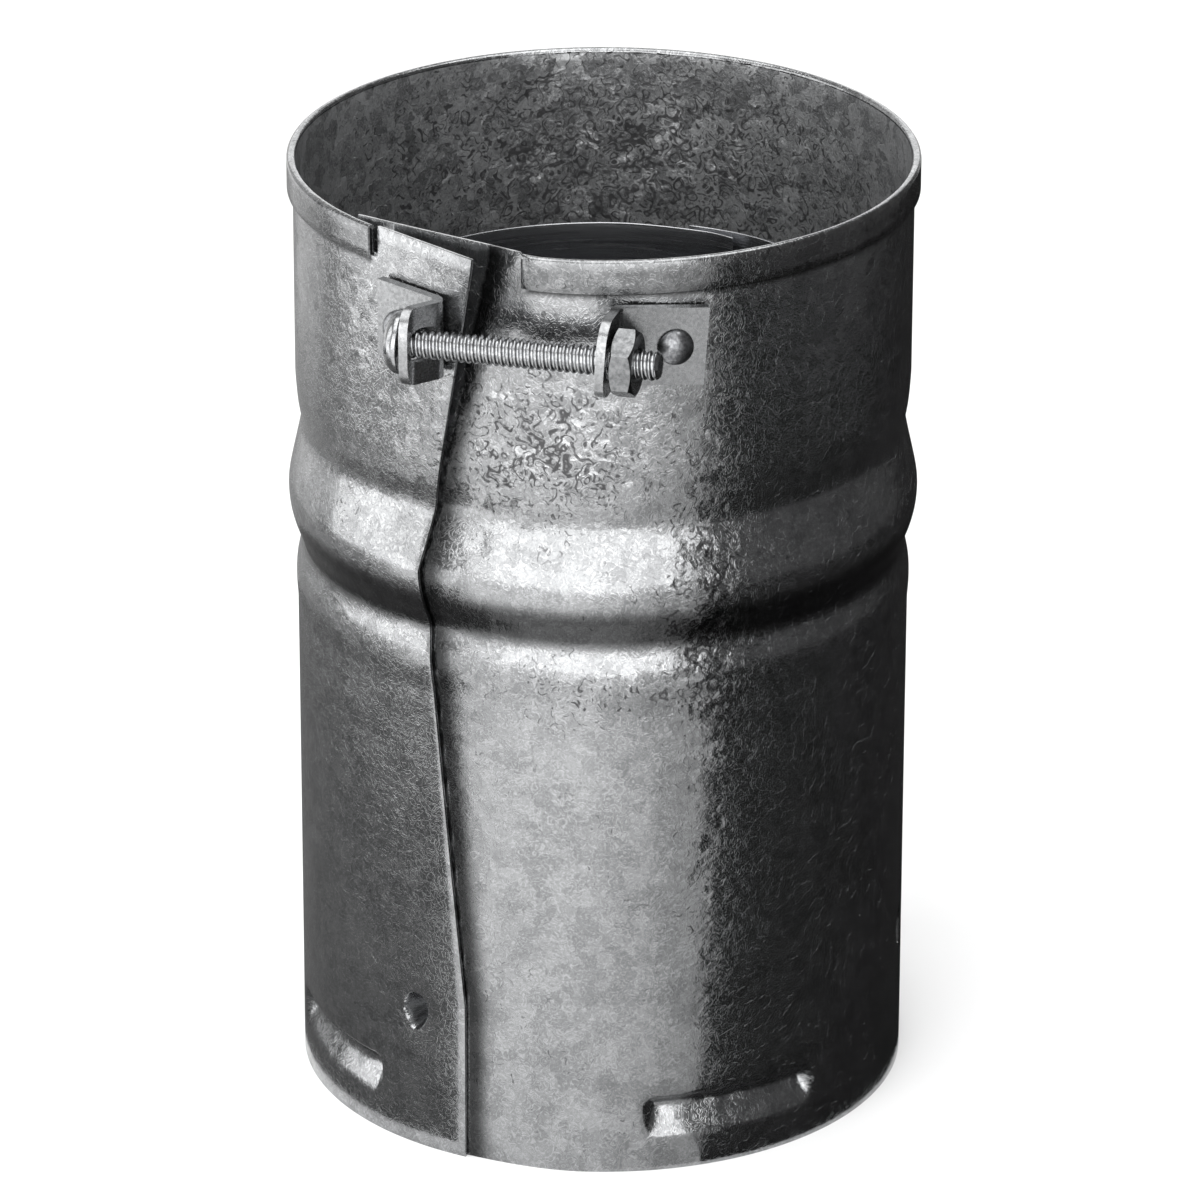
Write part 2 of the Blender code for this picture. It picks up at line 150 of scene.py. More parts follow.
sheetFinish = {
    "zincDeep": "#7c7d7e",
    "zincPale": "#a7a8a9",
    "flakeDark": "#4c4c4d",
    "paintedShadeTone": 0.15,  # how much light the metal still gives back where shade is painted in
    "metallic": 0.98,  # the dull zinc skin scatters a little light
    "roughness": 0.18,
    "flakeSize": 2.0,  # mm, across one spangle flake
    "cellTone": 0.42,  # how much one flake is paler or darker than the next
    "flakeTilt": 0.080,  # slope of a flake against the sheet
    "plainTilt": 0.18,  # the share of that slope where few flakes show
    "curl": (0.55, 2.6),  # bends per mm in the flakes' outlines, and mm that they wander
    "leaves": (0.62, 0.27),  # dark leaves per mm, and how far the density brings them out
    "leafEdge": (0.68, 0.90),  # the pattern's values where a leaf starts and is full
    "outlines": 0.75,  # pale outlines per mm
    "outlineEdge": 0.06,  # half the width of an outline, in values of its pattern
    "outlineTone": 0.70,
    "outlineRise": 0.009,  # mm
    "clouds": (0.09, 0.9),  # broad pale and dark clouds per mm, and their strength
    "evenTone": 0.62,  # taken off, so that the patterns together stay near the middle tone
    "grain": 0.42,  # mm, drawn coarser than the real crystals so that it shows
    "grainRoughness": 0.14,
    "leafRoughness": 0.08,
    "pitting": 0.010,  # mm deep
}
# the inside: the zinc painted paler and more mottled, standing in for light that hardly reaches in, and
# with no painted shade
paintedLightInsideFinish = {**sheetFinish, "metallic": 0.80, "roughness": 0.36, "pitting": 0.014, "paintedShadeTone": 1.0,
                "zincPale": "#bcbdbe", "flakeDark": "#545455", "cellTone": 0.80}


def galvanisedSheet(name, s):
    # hot-dip galvanised steel: dull grey zinc whose small spangle flakes each lean a little their own way
    material, shader = newMaterial(name)
    links = material.node_tree.links
    uv = addNode(material, "ShaderNodeUVMap", uv_map="flatSheet")
    mm = addNode(material, "ShaderNodeVectorMath", {0: (uv, "UV"), "Scale": 1000.0}, operation="SCALE")
    density = addNode(material, "ShaderNodeAttribute", attribute_name="flakeDensity")

    # flake outlines: cells of a curled grid, so that they turn into small leaves
    bends, reach = s["curl"]
    curl = addNode(material, "ShaderNodeTexNoise", {"Vector": (mm, 0), "Scale": bends, "Detail": 1.5},
                   noise_dimensions="2D")
    curled = addNode(material, "ShaderNodeVectorMath",
                     {0: (curl, "Color"), 1: (reach, reach, 0.0), 2: (mm, 0)}, operation="MULTIPLY_ADD")
    cells = addNode(material, "ShaderNodeTexVoronoi", {"Vector": (curled, 0), "Scale": 1 / s["flakeSize"]},
                    voronoi_dimensions="2D")
    lean = addNode(material, "ShaderNodeVectorMath",
                   {0: (cells, "Color"), 1: (2.0, 2.0, 0.0), 2: (-1.0, -1.0, 0.0)},
                   operation="MULTIPLY_ADD")
    offset = addNode(material, "ShaderNodeVectorMath", {0: (curled, 0), 1: (cells, "Position")},
                     operation="SUBTRACT")
    slope = addNode(material, "ShaderNodeVectorMath", {0: (lean, 0), 1: (offset, 0)},
                    operation="DOT_PRODUCT")
    tilt = addNode(material, "ShaderNodeMath",
                   {0: (density, "Fac"), 1: s["flakeTilt"], 2: s["flakeTilt"] * s["plainTilt"]},
                   operation="MULTIPLY_ADD")
    flakeHeight = addNode(material, "ShaderNodeMath", {0: (slope, "Value"), 1: (tilt, 0)},
                          operation="MULTIPLY")

    # soft dark leaves, only where the sheet shows many
    perMm, broughtOut = s["leaves"]
    leafStart, leafFull = s["leafEdge"]
    veins = addNode(material, "ShaderNodeTexNoise",
                    {"Vector": (mm, 0), "Scale": perMm, "Detail": 1.5, "Roughness": 0.5, "Distortion": 2.0},
                    noise_dimensions="2D")
    level = addNode(material, "ShaderNodeMath", {0: (density, "Fac"), 1: broughtOut, 2: (veins, "Fac")},
                    operation="MULTIPLY_ADD")
    flakes = addNode(material, "ShaderNodeMapRange",
                     {"Value": (level, 0), "From Min": leafStart, "From Max": leafFull},
                     interpolation_type="SMOOTHSTEP")

    # pale curled outlines of the crystals, 0.1 mm wide in the metal and drawn twice that
    worms = addNode(material, "ShaderNodeTexNoise",
                    {"Vector": (mm, 0), "Scale": s["outlines"], "Detail": 1.0, "Distortion": 1.8},
                    noise_dimensions="2D")
    ridge = addNode(material, "ShaderNodeMath", {0: (worms, "Fac"), 1: 0.5}, operation="SUBTRACT")
    ridge = addNode(material, "ShaderNodeMath", {0: (ridge, 0)}, operation="ABSOLUTE")
    outline = addNode(material, "ShaderNodeMapRange",
                      {"Value": (ridge, 0), "From Min": s["outlineEdge"], "From Max": 0.0})

    grain = addNode(material, "ShaderNodeTexNoise",
                    {"Vector": (mm, 0), "Scale": 1 / s["grain"], "Detail": 3.0, "Roughness": 0.6},
                    noise_dimensions="2D")
    cloudsPerMm, cloudTone = s["clouds"]
    cloud = addNode(material, "ShaderNodeTexNoise",
                    {"Vector": (mm, 0), "Scale": cloudsPerMm, "Detail": 4.0, "Roughness": 0.6},
                    noise_dimensions="2D")
    tone = addNode(material, "ShaderNodeSeparateColor", {0: (cells, "Color")})
    mix = addNode(material, "ShaderNodeMath", {0: (tone, "Blue"), 1: s["cellTone"], 2: (grain, "Fac")},
                  operation="MULTIPLY_ADD")
    mix = addNode(material, "ShaderNodeMath", {0: (cloud, "Fac"), 1: cloudTone, 2: (mix, 0)},
                  operation="MULTIPLY_ADD")
    mix = addNode(material, "ShaderNodeMath", {0: (outline, 0), 1: s["outlineTone"], 2: (mix, 0)},
                  operation="MULTIPLY_ADD")
    mix = addNode(material, "ShaderNodeMath", {0: (mix, 0), 1: s["evenTone"] + s["cellTone"] / 2},
                  operation="SUBTRACT")
    zinc = addNode(material, "ShaderNodeMix",
                   {0: (mix, 0), 6: linear(s["zincDeep"]), 7: linear(s["zincPale"])}, data_type="RGBA")
    colour = addNode(material, "ShaderNodeMix",
                     {0: (flakes, 0), 6: (zinc, 2), 7: linear(s["flakeDark"])}, data_type="RGBA")
    # painted shade: the colour is darkened on the hem face, in the groove, under the hem and beside the
    # seam
    groove = addNode(material, "ShaderNodeAttribute", attribute_name="grooveShade")
    paintedShadeMix = addNode(material, "ShaderNodeMix",
                   {0: (groove, "Fac"), 6: (colour, 2), 7: (s["paintedShadeTone"],) * 3 + (1.0,)},
                   data_type="RGBA", blend_type="MULTIPLY")
    links.new(paintedShadeMix.outputs[2], shader.inputs["Base Color"])
    smoothest = s["roughness"] - s["grainRoughness"] / 2
    rough = addNode(material, "ShaderNodeMath", {0: (grain, "Fac"), 1: s["grainRoughness"], 2: smoothest},
                    operation="MULTIPLY_ADD")
    rough = addNode(material, "ShaderNodeMath", {0: (flakes, 0), 1: s["leafRoughness"], 2: (rough, 0)},
                    operation="MULTIPLY_ADD")
    links.new(rough.outputs[0], shader.inputs["Roughness"])

    # heights in mm: the leaning flakes, a fine pitting and the crystals' raised outlines
    height = addNode(material, "ShaderNodeMath", {0: (grain, "Fac"), 1: s["pitting"], 2: (flakeHeight, 0)},
                     operation="MULTIPLY_ADD")
    height = addNode(material, "ShaderNodeMath", {0: (outline, 0), 1: s["outlineRise"], 2: (height, 0)},
                     operation="MULTIPLY_ADD")
    bump = addNode(material, "ShaderNodeBump", {"Height": (height, 0), "Strength": 1.0, "Distance": 0.001})
    links.new(bump.outputs[0], shader.inputs["Normal"])
    shader.inputs["Metallic"].default_value = s["metallic"]
    return material


stripFinish = {
    "deep": "#97989b",
    "pale": "#cacbcd",
    "roughness": (0.18, 0.15),  # the smoothest, and how much duller the dullest line is
    "lines": (60.0, 2600.0, 1.0),  # per metre round the tube and up it
    "lineDepth": 0.00005,
}


def rolledAluminium(s):
    # mill-finish aluminium strip: brighter than the zinc, with fine rolling lines round the tube
    material, shader = newMaterial("rolledAluminium")
    links = material.node_tree.links
    uv = addNode(material, "ShaderNodeUVMap", uv_map="flatSheet")
    drawn = addNode(material, "ShaderNodeVectorMath", {0: (uv, "UV"), 1: s["lines"]},
                    operation="MULTIPLY")
    lines = addNode(material, "ShaderNodeTexNoise", {"Vector": (drawn, 0), "Scale": 1.0, "Detail": 3.0})
    tone = addNode(material, "ShaderNodeMix",
                   {0: (lines, "Fac"), 6: linear(s["deep"]), 7: linear(s["pale"])}, data_type="RGBA")
    links.new(tone.outputs[2], shader.inputs["Base Color"])
    smoothest, duller = s["roughness"]
    rough = addNode(material, "ShaderNodeMath", {0: (lines, "Fac"), 1: duller, 2: smoothest},
                    operation="MULTIPLY_ADD")
    links.new(rough.outputs[0], shader.inputs["Roughness"])
    bump = addNode(material, "ShaderNodeBump",
                   {"Height": (lines, "Fac"), "Strength": 0.12, "Distance": s["lineDepth"]})
    links.new(bump.outputs[0], shader.inputs["Normal"])
    shader.inputs["Metallic"].default_value = 1.0
    return material


platingWear = {
    "edge": (0.35, 0.65),  # the pattern's values where worn plating starts and is full
    "dullest": 0.05,  # roughness above the given one, where the plating is fresh
    "polish": -0.08,  # and what wear takes off it
    "depth": 0.00006,
}


def platedSteel(name, dark, pale, roughness, grainSize):
    # zinc-plated steel: smooth bright plating with faint wear, grain in mm
    material, shader = newMaterial(name)
    links = material.node_tree.links
    place = addNode(material, "ShaderNodeTexCoord")
    mm = addNode(material, "ShaderNodeVectorMath", {0: (place, "Object"), "Scale": 1000.0},
                 operation="SCALE")
    wear = addNode(material, "ShaderNodeTexNoise",
                   {"Vector": (mm, 0), "Scale": 1 / grainSize, "Detail": 4.0, "Roughness": 0.6})
    wearStart, wearFull = platingWear["edge"]
    band = addNode(material, "ShaderNodeMapRange",
                   {"Value": (wear, "Fac"), "From Min": wearStart, "From Max": wearFull})
    tone = addNode(material, "ShaderNodeMix", {0: (band, 0), 6: linear(dark), 7: linear(pale)},
                   data_type="RGBA")
    links.new(tone.outputs[2], shader.inputs["Base Color"])
    rough = addNode(material, "ShaderNodeMath",
                    {0: (band, 0), 1: platingWear["polish"], 2: roughness + platingWear["dullest"]},
                    operation="MULTIPLY_ADD")
    links.new(rough.outputs[0], shader.inputs["Roughness"])
    bump = addNode(material, "ShaderNodeBump",
                   {"Height": (wear, "Fac"), "Strength": 0.10, "Distance": platingWear["depth"]})
    links.new(bump.outputs[0], shader.inputs["Normal"])
    shader.inputs["Metallic"].default_value = 1.0
    return material


sheetMetal = galvanisedSheet("galvanisedSheet", sheetFinish)
paintedLightInsideMetal = galvanisedSheet("galvanisedSheetInsidePaintedLight", paintedLightInsideFinish)  # painted paler as painted light for the dim inside, and duller
linerMetal = rolledAluminium(stripFinish)
tabMetal = platedSteel("platedTabSteel", "#818283", "#9c9d9e", 0.26, 0.5)
rivetMetal = platedSteel("rivetSteel", "#5d5e60", "#8f9092", 0.34, 0.5)
screwMetal = platedSteel("platedScrewSteel", "#858688", "#a9aaab", 0.22, 0.6)
nutMetal = platedSteel("platedNutSteel", "#5e5f60", "#828384", 0.22, 0.7)
print("materials ready")


# outer shell: one sheet, rolled, lapped, beaded and hemmed
shell = {
    "radius": 0.04445, "height": 0.1408, "sheet": 0.00046, "lapGap": 0.0003,
    "lapInnerEnd": -38.0, "joggle": (-11.0, 11.0),
    "seam": ((0.024, -12.4), (0.0912, -20.8), (0.1408, -7.9)),
    "flapHinge": -31.7, "flapLift": ((0.024, 0.0), (0.0912, 0.22), (0.1408, 1.0)),
    "flatAngle": -18.5, "flatHalf": 20.0, "flatDepth": 0.0024, "flatFoot": 0.104,
    "bead": ((0.0730, 0.0), (0.0758, 0.00018), (0.0784, 0.00008), (0.0812, -0.00044),
             (0.0832, -0.00052), (0.0858, 0.00042), (0.0880, 0.00098), (0.0904, 0.00116),
             (0.0922, 0.00098), (0.0992, -0.00052), (0.1010, -0.00074), (0.1040, -0.00030),
             (0.1078, 0.0)),
    "hemDepth": 0.0048, "hemGap": 0.0004, "hemStart": -0.8,
    "slotWidth": 1.45, "slotDepth": 0.0040, "edgeBreak": 0.00009,
    "waviness": 0.00003, "wavesAcross": 0.035, "wavesUp": 22,  # depth, per degree, per metre
    # where the spangle shows most: angle, height, half angle, half height, strength
    "flakePatches": ((4, 0.112, 20, 0.012, 1.0), (33, 0.088, 9, 0.016, 0.9), (35, 0.055, 6, 0.03, 0.45),
                     (10, 0.075, 18, 0.004, 0.6), (-40, 0.122, 8, 0.020, 0.25), (190, 0.125, 60, 0.02, 1.0),
                     (140, 0.07, 50, 0.04, 0.5), (-110, 0.05, 40, 0.03, 0.5)),
}
lugs = {"first": 39.8, "count": 4, "span": 37.4, "ramp": 3.2, "foot": 0.0047, "crest": 0.0098,
        "top": 0.0123, "depth": 0.0021, "crinkle": 0.00035, "crinklesAcross": 1.1, "crinklesUp": 160}
dimples = {"first": -23.5, "height": 0.0212, "halfAngle": 3.1, "halfHeight": 0.0031,
           "depth": 0.00529, "tip": 0.26, "roundness": 0.8, "apex": (-0.26, -0.22), "footPoint": 0.45,
           "sink": 0.00040, "sinkStart": 0.2, "sinkReach": 2.0, "cuts": 7}

# painted shade: a darker hem face, a painted dark reflection in the groove, and painted shadow under the
# hem and beside the seam; the share of shade, or where its fade starts and ends, as heights, as fold radii
# past the start of the fold, or as degrees from the seam
paintedShades = {"hem": 0.42, "hemFade": (1.6, 3.1), "groove": 0.9,
          "grooveHeights": (0.0812, 0.0832, 0.0870, 0.0894), "underHem": (0.1347, 0.1356),
          "besideLap": (1.6, 6.0)}

# steps between the sheet's columns in degrees and between its rows in metres
shellGrid = {"column": 1.7, "seamColumn": 0.8, "seamSpan": (-21, -4), "lugColumn": 0.55,
             "row": 0.0028, "beadRow": 0.0009, "beadSpan": (0.070, 0.109), "lugRow": 0.00055,
             "rowMarks": (0.030, 0.131), "foldSteps": 8, "hemSteps": 3}

halfSheet = shell["sheet"] / 2
lapOuterEnd = shell["seam"][0][1] + 360
foldRadius = (shell["sheet"] + shell["hemGap"]) / 2
foldHeight = shell["height"] - halfSheet - foldRadius
slotFoot = shell["height"] - shell["slotDepth"]
slotEnd = shell["flapHinge"] + 360 + shell["slotWidth"] / 2
hemEnd = slotEnd - shell["slotWidth"]
lugAngles = [lugs["first"] + 90 * i for i in range(lugs["count"])]
dimpleAngles = [dimples["first"] + turn for turn in (360, 120, 240)]
dimpleLow = dimples["height"] - dimples["halfHeight"]
dimpleHigh = dimples["height"] + dimples["halfHeight"]


def roundPoint(angle, radius, height):
    turn = math.radians(angle)
    return Vector((radius * math.sin(turn), -radius * math.cos(turn), height))


def pocketDepth(across, up):
    # 0 at the round mouth, 1 on the flat tip, whose middle lies off centre
    apexX, apexY = dimples["apex"]
    x, y = across - apexX, up - apexY
    size = max(x * x + y * y, 1e-9)
    lean = apexX * x + apexY * y
    reach = (math.sqrt(lean * lean + size * (1 - apexX ** 2 - apexY ** 2)) - lean) / size
    part = share(1 / reach, dimples["tip"], 1.0)
    return (1 - part) ** dimples["roundness"]


def pressDepth(angle, height):
    depth = 0.0
    if height < lugs["top"]:
        for lug in lugAngles:
            along = 1 - share(turnApart(angle, lug), lugs["span"] / 2 - lugs["ramp"], lugs["span"] / 2)
            rise = share(height, lugs["foot"], lugs["crest"])
            fall = 1 - share(height, lugs["crest"], lugs["top"])
            bulge = ease(along) * ease(min(rise, fall))
            crinkle = noise.noise(Vector((angle * lugs["crinklesAcross"], height * lugs["crinklesUp"],
                                          3.3 + lug)))
            depth += bulge * (lugs["depth"] + lugs["crinkle"] * crinkle)
    for dimple in dimpleAngles:
        across = (angle - dimple) / dimples["halfAngle"]
        up = (height - dimples["height"]) / dimples["halfHeight"]
        away = math.hypot(across, up)
        if away < dimples["sinkReach"]:
            depth += dimples["sink"] * ease(1 - share(away, dimples["sinkStart"], dimples["sinkReach"]))
        across *= 1 + dimples["footPoint"] * max(-up, 0.0)
        if math.hypot(across, up) < 1:
            depth += (dimples["depth"] - dimples["sink"]) * pocketDepth(across, up)
    return depth


def wallRadius(angle, height):
    radius = shell["radius"] - halfSheet + smoothThrough(shell["bead"], height)
    radius -= (shell["sheet"] + shell["lapGap"]) * (1 - ease(share(angle, *shell["joggle"])))
    if angle > slotEnd - shell["slotWidth"]:
        swing = math.radians(max(angle - slotEnd, 0.0))
        lift = straightThrough(shell["flapLift"], height)
        radius += lift * shell["radius"] * (1 / math.cos(swing) - 1)
    if angle < shell["joggle"][1]:
        swing = (angle - shell["flatAngle"]) / shell["flatHalf"]
        sink = ease(share(height, shell["flatFoot"], shell["height"]))
        radius -= shell["flatDepth"] * sink * max(1 - swing * swing, 0.0)
    wave = noise.noise(Vector((angle * shell["wavesAcross"], height * shell["wavesUp"], 1.7)))
    return radius - pressDepth(angle, height) + wave * shell["waviness"]


def sheetPoint(angle, travel):
    # up the wall, then over the fold and down the hem, or to a plain rim where there is no hem
    if travel <= foldHeight:
        plainRim = travel > foldHeight - 1e-6 and not (
            shell["hemStart"] - 0.01 <= angle <= hemEnd + 0.01)
        top = shell["height"] if plainRim else travel
        return roundPoint(angle, wallRadius(angle, top), top)
    turn = min((travel - foldHeight) / foldRadius, math.pi)
    drop = max(travel - foldHeight - math.pi * foldRadius, 0.0)
    radius = wallRadius(angle, foldHeight) + foldRadius * (1 - math.cos(turn))
    return roundPoint(angle, radius, foldHeight + foldRadius * math.sin(turn) - drop)


def seamAngle(height):
    return straightThrough(shell["seam"], height)


def shellColumns():
    marks = [shell["lapInnerEnd"], *shell["joggle"], shell["hemStart"], hemEnd, slotEnd, lapOuterEnd]
    for lug in lugAngles:
        for offset in (lugs["span"] / 2, lugs["span"] / 2 - lugs["ramp"]):
            for angle in (lug - offset, lug + offset):
                marks += [turn for turn in (angle - 360, angle)
                          if shell["lapInnerEnd"] < turn < lapOuterEnd - 2]
    reach = dimples["halfAngle"] * 2
    for dimple in dimpleAngles:
        marks += [dimple - reach, dimple, dimple + reach]
    marks += [dimpleAngles[0] - 360 + side * dimples["halfAngle"] for side in (-1, 1)]

    def stepAt(angle):
        nearLug = any(abs(turnApart(angle, lug) - lugs["span"] / 2 + lugs["ramp"] / 2)
                      < lugs["ramp"] / 2 + 0.1 for lug in lugAngles)
        if nearLug:
            return shellGrid["lugColumn"]
        seamFrom, seamTo = shellGrid["seamSpan"]
        return shellGrid["seamColumn"] if seamFrom < angle < seamTo else shellGrid["column"]

    return fillMarks(marks, stepAt)


def shellRows():
    marks = [0.0, lugs["foot"], lugs["crest"], lugs["top"], dimpleLow, dimples["height"], dimpleHigh]
    marks += [dimples["height"] + side * dimples["halfHeight"] * 2 for side in (-1, 1)]
    beadFoot, beadTop = shellGrid["beadSpan"]
    marks += [*shellGrid["rowMarks"], beadFoot, beadTop, *paintedShades["underHem"], slotFoot, foldHeight]

    def stepAt(height):
        if lugs["foot"] < height < lugs["top"]:
            return shellGrid["lugRow"]
        return shellGrid["beadRow"] if beadFoot < height < beadTop else shellGrid["row"]

    fold = foldRadius * math.pi
    rows = fillMarks(marks, stepAt)
    steps = shellGrid["foldSteps"]
    rows += [foldHeight + fold * i / steps for i in range(1, steps + 1)]
    hemFoot = foldHeight + fold + shell["hemDepth"] - halfSheet - foldRadius
    steps = shellGrid["hemSteps"]
    return rows + [foldHeight + fold + (hemFoot - foldHeight - fold) * i / steps
                   for i in range(1, steps + 1)]


def flatGrid(columns, rows):
    bm = bmesh.new()
    across, up = len(columns) - 1, len(rows) - 1
    bmesh.ops.create_grid(bm, x_segments=across, y_segments=up, size=1.0)
    for vert in bm.verts:
        i = round((vert.co.x + 1) / 2 * across)
        j = round((vert.co.y + 1) / 2 * up)
        vert.co = (columns[i], rows[j], 0.0)
    return bm


def facesIn(bm, xRange, yRange):
    found = []
    for face in bm.faces:
        middle = face.calc_center_median()
        if xRange[0] < middle.x < xRange[1] and yRange[0] < middle.y < yRange[1]:
            found.append(face)
    return found


def turnOutward(bm):  # an open rolled sheet's faces, turned away from its axis
    bmesh.ops.recalc_face_normals(bm, faces=bm.faces)
    facing = sum(f.normal.dot(f.calc_center_median() * Vector((1, 1, 0))) for f in bm.faces)
    if facing < 0:
        bmesh.ops.reverse_faces(bm, faces=bm.faces)


def keepFlatPlace(bm, radius):
    # UV map of the flat sheet, in metres
    layer = bm.loops.layers.uv.new("flatSheet")
    for face in bm.faces:
        for loop in face.loops:
            loop[layer].uv = (math.radians(loop.vert.co.x) * radius, loop.vert.co.y)


def flakeDensity(angle, travel):  # how thickly the spangle shows, from 0 to 1
    height = min(travel, shell["height"])
    density = 0.0
    for middle, level, halfAngle, halfHeight, strength in shell["flakePatches"]:
        density += strength * hump(turnApart(angle, middle), 0, halfAngle) * hump(height, level, halfHeight)
    return min(density, 1.0) if travel <= foldHeight else 0.0


def grooveShade(angle, travel):
    # painted shade: a darker hem face, a painted dark reflection in the groove, and painted shadow under
    # the hem and beside the seam
    if travel > foldHeight:
        fadeStart, fadeEnd = (foldHeight + radii * foldRadius for radii in paintedShades["hemFade"])
        return paintedShades["hem"] * ease(share(travel, fadeStart, fadeEnd))
    underHem = share(travel, *paintedShades["underHem"])
    if not shell["hemStart"] < angle < hemEnd:
        underHem = 0.0
    foot, deepFrom, deepTo, top = paintedShades["grooveHeights"]
    groove = ease(share(travel, foot, deepFrom)) * (1 - ease(share(travel, deepTo, top)))
    past = angle - seamAngle(travel)
    besideLap = 1 - ease(share(past, *paintedShades["besideLap"])) if past >= 0 else 0.0
    return max(paintedShades["groove"] * groove, besideLap, underHem)


def makeShell():
    bm = flatGrid(shellColumns(), shellRows())
    over = (foldHeight, 1.0)
    waste = facesIn(bm, (shell["lapInnerEnd"], shell["hemStart"]), over)
    waste += facesIn(bm, (hemEnd, lapOuterEnd), over)
    waste += facesIn(bm, (hemEnd, slotEnd), (slotFoot, foldHeight))
    hiddenLug = lugAngles[-1] - 360 + lugs["span"] / 2
    waste += facesIn(bm, (shell["lapInnerEnd"], hiddenLug), (0.0, dimpleLow))
    inner = dimpleAngles[0] - 360
    window = (inner - dimples["halfAngle"], inner + dimples["halfAngle"])
    waste += facesIn(bm, window, (dimpleLow, dimpleHigh))
    bmesh.ops.delete(bm, geom=waste, context="FACES")
    edges = set()
    reach = dimples["halfAngle"] * 2
    field = (2 * dimpleLow - dimples["height"], 2 * dimpleHigh - dimples["height"])
    for dimple in dimpleAngles:
        for face in facesIn(bm, (dimple - reach, dimple + reach), field):
            edges.update(face.edges)
    bmesh.ops.subdivide_edges(bm, edges=list(edges), cuts=dimples["cuts"], use_grid_fill=True)
    for vert in bm.verts:
        if vert.co.x > slotEnd:
            reach = seamAngle(min(vert.co.y, shell["height"])) + 360 - slotEnd
            vert.co.x = slotEnd + reach * (vert.co.x - slotEnd) / (lapOuterEnd - slotEnd)
    keepFlatPlace(bm, shell["radius"])
    for face in facesIn(bm, (shell["lapInnerEnd"], lapOuterEnd), over):
        face.material_index = 1
    density = bm.verts.layers.float.new("flakeDensity")
    # the painted shade of each point, by which the sheet's material darkens its colour
    shade = bm.verts.layers.float.new("grooveShade")
    for vert in bm.verts:
        vert[density] = flakeDensity(vert.co.x, vert.co.y)
        vert[shade] = grooveShade(vert.co.x, vert.co.y)
        vert.co = sheetPoint(vert.co.x, vert.co.y)
    turnOutward(bm)
    obj = makeObject("shellSheet", bm, sheetMetal, 60)
    obj.data.materials.append(paintedLightInsideMetal)
    obj.data.materials.append(sheetMetal)  # the hem shows the sheet's other side
    addModifier(obj, "SOLIDIFY", thickness=shell["sheet"], offset=0.0, use_even_offset=True,
                material_offset=1)
    addModifier(obj, "BEVEL", width=shell["edgeBreak"], segments=2, limit_method="ANGLE",
                angle_limit=math.radians(60))
    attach(obj, "shell")
    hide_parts("outer_shell")
    return obj


# inner liner
liner = {"radius": 0.0384, "sheet": 0.0003, "foot": 0.0010, "top": 0.1156,
         "seam": 163.0, "lap": 12.0, "joggle": 18.0, "gap": 0.0003, "edgeBreak": 0.00012,
         "endCurl": 0.0006, "curlSpan": 8.0, "endLift": 0.0010, "liftSpan": 24.0,
         "waviness": 0.00005, "wavesAcross": 0.05, "wavesUp": 30,  # depth, per degree, per metre
         "column": 2.0, "row": 0.006, "rimRow": 0.004}


def makeLiner():
    first, last = liner["seam"], liner["seam"] + 360 + liner["lap"]
    liftEnd = last - liner["lap"]
    marks = [first, first + liner["curlSpan"], first + liner["joggle"], liftEnd - liner["liftSpan"],
             liftEnd, last]
    columns = fillMarks(marks, lambda angle: liner["column"])
    rows = fillMarks([liner["foot"], liner["top"] - liner["rimRow"], liner["top"]],
                     lambda height: liner["row"])
    bm = flatGrid(columns, rows)
    keepFlatPlace(bm, liner["radius"])
    for vert in bm.verts:
        angle, height = vert.co.x, vert.co.y
        under = 1 - ease(share(angle, first + liner["lap"], first + liner["lap"] + liner["joggle"]))
        radius = liner["radius"] - liner["sheet"] / 2 - (liner["sheet"] + liner["gap"]) * under
        # the inner end springs in a little and the outer end stands off
        radius -= liner["endCurl"] * (1 - share(angle, first, first + liner["curlSpan"])) ** 2
        radius += liner["endLift"] * ease(share(angle, liftEnd - liner["liftSpan"], liftEnd))
        wave = noise.noise(Vector((angle * liner["wavesAcross"], height * liner["wavesUp"], 5.1)))
        radius += liner["waviness"] * wave
        vert.co = roundPoint(angle, radius, height)
    turnOutward(bm)
    obj = makeObject("linerTube", bm, linerMetal, 60)
    addModifier(obj, "SOLIDIFY", thickness=liner["sheet"], offset=0.0, use_even_offset=True)
    addModifier(obj, "BEVEL", width=liner["edgeBreak"], segments=3, limit_method="ANGLE",
                angle_limit=math.radians(60))
    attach(obj, "shell")
    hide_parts("inner_liner")
    return obj


shellSheet = makeShell()
linerTube = makeLiner()
print("sheet tubes ready:", len(shellSheet.data.polygons), len(linerTube.data.polygons))


# brackets: the solids' own bent strips, with their edges broken
tab = {"edgeBreak": 0.00036, "edgeAngle": 50, "flatWithin": 1.5}


def makeTab(node, name):
    bm = bmesh.new()
    bm.from_mesh(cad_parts[node].data)
    bmesh.ops.remove_doubles(bm, verts=bm.verts, dist=0.000002)
    bmesh.ops.dissolve_limit(bm, angle_limit=math.radians(tab["flatWithin"]), verts=bm.verts,
                             edges=bm.edges)
    obj = makeObject(name, bm, tabMetal, 40)
    addModifier(obj, "BEVEL", width=tab["edgeBreak"], segments=3, limit_method="ANGLE",
                angle_limit=math.radians(tab["edgeAngle"]), use_clamp_overlap=True)
    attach(obj, "shell")
    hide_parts(node)


makeTab("screw_bracket", "screwTab")
makeTab("nut_bracket", "nutTab")
print("brackets ready")


# clamp screw with its thread, nut and rivets
screw = {"y": -0.0491024, "z": 0.1283, "headSeat": -0.0162, "tip": 0.0203, "radius": 0.0021,
         "root": 0.00176, "pitch": 0.00100, "stepsPerTurn": 28, "threadStart": 0.0002,
         "tipDrop": 0.00012, "tipSlope": 0.9,
         "headRadius": 0.0044, "headRise": 0.0027, "headSide": 0.00045, "headChamfer": 0.00012,
         "edgeBreak": 0.00008, "slotWidth": 0.0010, "slotDepth": 0.0013}


